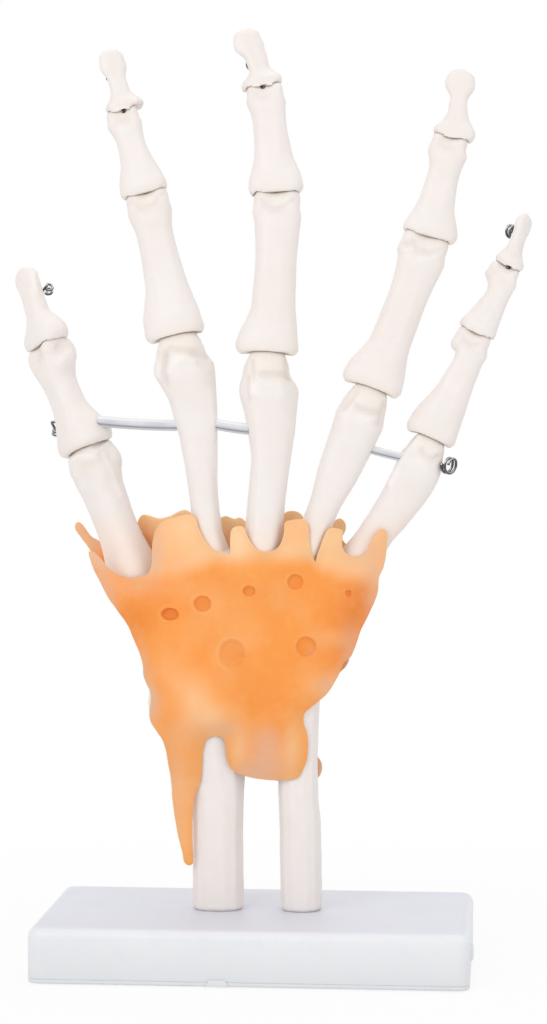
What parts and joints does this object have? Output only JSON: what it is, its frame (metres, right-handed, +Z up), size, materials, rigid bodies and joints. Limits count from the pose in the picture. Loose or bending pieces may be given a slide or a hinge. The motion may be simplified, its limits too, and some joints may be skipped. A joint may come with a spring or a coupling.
{
  "type": "posable hand model",
  "caption": "Life-size jointed skeleton hand on a slab base: bones strung on wire, soft ligament sheets over both sides of the wrist, clear spacers between the long bones.",
  "frame": {"origin": "middle of the base's underside, the surface that the object stands on", "axes": "+Z up towards the fingertips, -Y towards the viewer of the back of the hand, -X towards the thumb"},
  "size_m": [0.1553, 0.0767, 0.2758],
  "materials": {
    "bone_plastic": "ivory rigid plastic, satin, faint grain",
    "ligament_rubber": "soft orange silicone, slightly see-through, satin",
    "base_plastic": "cool white moulded plastic, satin",
    "wire": "bare dark steel wire",
    "screw_steel": "zinc-plated",
    "clear_tube": "clear flexible tube, slightly cloudy"
  },
  "bodies": {
    "stand": {"base_shell": "base_plastic", "base_bottom_plate": "base_plastic", "base_screw_radius": "screw_steel", "base_screw_ulna": "screw_steel", "radius": "bone_plastic", "ulna": "bone_plastic"},
    "hand": {"scaphoid": "bone_plastic", "lunate": "bone_plastic", "triquetrum": "bone_plastic", "pisiform": "bone_plastic", "trapezium": "bone_plastic", "trapezoid": "bone_plastic", "capitate": "bone_plastic", "hamate": "bone_plastic", "thumb_metacarpal": "bone_plastic", "index_metacarpal": "bone_plastic", "middle_metacarpal": "bone_plastic", "ring_metacarpal": "bone_plastic", "little_metacarpal": "bone_plastic", "dorsal_ligament": "ligament_rubber", "palmar_ligament": "ligament_rubber", "thumb_wire": "wire", "index_wire": "wire", "middle_wire": "wire", "ring_wire": "wire", "little_wire": "wire", "spreader_wire_radial": "wire", "spreader_wire_ulnar": "wire", "spacer_thumb_index": "clear_tube", "spacer_index_middle": "clear_tube", "spacer_ring_little": "clear_tube"},
    "thumb_proximal_phalanx": {"thumb_proximal_phalanx": "bone_plastic"},
    "thumb_distal_phalanx": {"thumb_distal_phalanx": "bone_plastic"},
    "index_proximal_phalanx": {"index_proximal_phalanx": "bone_plastic"},
    "index_middle_phalanx": {"index_middle_phalanx": "bone_plastic"},
    "index_distal_phalanx": {"index_distal_phalanx": "bone_plastic"},
    "middle_proximal_phalanx": {"middle_proximal_phalanx": "bone_plastic"},
    "middle_middle_phalanx": {"middle_middle_phalanx": "bone_plastic"},
    "middle_distal_phalanx": {"middle_distal_phalanx": "bone_plastic"},
    "ring_proximal_phalanx": {"ring_proximal_phalanx": "bone_plastic"},
    "ring_middle_phalanx": {"ring_middle_phalanx": "bone_plastic"},
    "ring_distal_phalanx": {"ring_distal_phalanx": "bone_plastic"},
    "little_proximal_phalanx": {"little_proximal_phalanx": "bone_plastic"},
    "little_middle_phalanx": {"little_middle_phalanx": "bone_plastic"},
    "little_distal_phalanx": {"little_distal_phalanx": "bone_plastic"}
  },
  "joints": [
    {"name": "wrist_flexion", "type": "hinge", "parent": "stand", "child": "hand", "pos_m": [-0.007, 0, 0.0965], "axis": [-1, 0, 0], "range_deg": [-20, 25], "stiffness_Nm_per_rad": 0.6, "deforming": ["dorsal_ligament", "palmar_ligament"]},
    {"name": "thumb_knuckle", "type": "hinge", "parent": "hand", "child": "thumb_proximal_phalanx", "pos_m": [-0.05014, 0.00859, 0.14688], "axis": [-0.6008, 0.7427, -0.2956], "range_deg": [-8, 25], "deforming": ["thumb_wire", "spreader_wire_radial", "spacer_thumb_index"]},
    {"name": "thumb_tip_joint", "type": "hinge", "parent": "thumb_proximal_phalanx", "child": "thumb_distal_phalanx", "pos_m": [-0.06346, 0.01209, 0.17859], "axis": [-0.5931, 0.7342, -0.3303], "range_deg": [-8, 50], "deforming": ["thumb_wire"]},
    {"name": "index_knuckle", "type": "hinge", "parent": "hand", "child": "index_proximal_phalanx", "pos_m": [-0.02286, -0.00293, 0.17947], "axis": [-0.9864, 0.0023, -0.1646], "range_deg": [-10, 45], "deforming": ["index_wire"]},
    {"name": "index_middle_joint", "type": "hinge", "parent": "index_proximal_phalanx", "child": "index_middle_phalanx", "pos_m": [-0.03333, 0.00033, 0.22301], "axis": [-0.9724, -0.0174, -0.2325], "range_deg": [-5, 60], "deforming": ["index_wire"]},
    {"name": "index_tip_joint", "type": "hinge", "parent": "index_middle_phalanx", "child": "index_distal_phalanx", "pos_m": [-0.04063, 0.00413, 0.24858], "axis": [-0.9624, -0.04, -0.2688], "range_deg": [-5, 40], "deforming": ["index_wire"]},
    {"name": "middle_knuckle", "type": "hinge", "parent": "hand", "child": "middle_proximal_phalanx", "pos_m": [0.00208, -0.00392, 0.1742], "axis": [-0.9998, -0.0003, 0.0221], "range_deg": [-10, 45], "deforming": ["middle_wire"]},
    {"name": "middle_middle_joint", "type": "hinge", "parent": "middle_proximal_phalanx", "child": "middle_middle_phalanx", "pos_m": [0.00387, -0.00029, 0.22281], "axis": [-0.9993, 0.0027, 0.0365], "range_deg": [-5, 60], "deforming": ["middle_wire"]},
    {"name": "middle_tip_joint", "type": "hinge", "parent": "middle_middle_phalanx", "child": "middle_distal_phalanx", "pos_m": [0.00041, 0.0046, 0.25527], "axis": [-0.9945, -0.0156, -0.1036], "range_deg": [-5, 40], "deforming": ["middle_wire"]},
    {"name": "ring_knuckle", "type": "hinge", "parent": "hand", "child": "ring_proximal_phalanx", "pos_m": [0.03072, -0.002, 0.16475], "axis": [-0.9353, 0, 0.354], "range_deg": [-10, 45], "deforming": ["ring_wire"]},
    {"name": "ring_middle_joint", "type": "hinge", "parent": "ring_proximal_phalanx", "child": "ring_middle_phalanx", "pos_m": [0.04702, 0.00172, 0.21053], "axis": [-0.9424, 0.0271, 0.3333], "range_deg": [-5, 60], "deforming": ["ring_wire"]},
    {"name": "ring_tip_joint", "type": "hinge", "parent": "ring_middle_phalanx", "child": "ring_distal_phalanx", "pos_m": [0.05453, 0.00623, 0.24035], "axis": [-0.9703, 0.0361, 0.2392], "range_deg": [-5, 40], "deforming": ["ring_wire"]},
    {"name": "little_knuckle", "type": "hinge", "parent": "hand", "child": "little_proximal_phalanx", "pos_m": [0.04756, 0.00183, 0.15091], "axis": [-0.8756, 0.0224, 0.4825], "range_deg": [-10, 45], "deforming": ["little_wire"]},
    {"name": "little_middle_joint", "type": "hinge", "parent": "little_proximal_phalanx", "child": "little_middle_phalanx", "pos_m": [0.06136, 0.00457, 0.183], "axis": [-0.9191, 0.0336, 0.3925], "range_deg": [-5, 60], "deforming": ["little_wire"]},
    {"name": "little_tip_joint", "type": "hinge", "parent": "little_middle_phalanx", "child": "little_distal_phalanx", "pos_m": [0.07079, 0.00769, 0.20292], "axis": [-0.9058, 0.0654, 0.4186], "range_deg": [-5, 40], "deforming": ["little_wire"]}
  ]
}
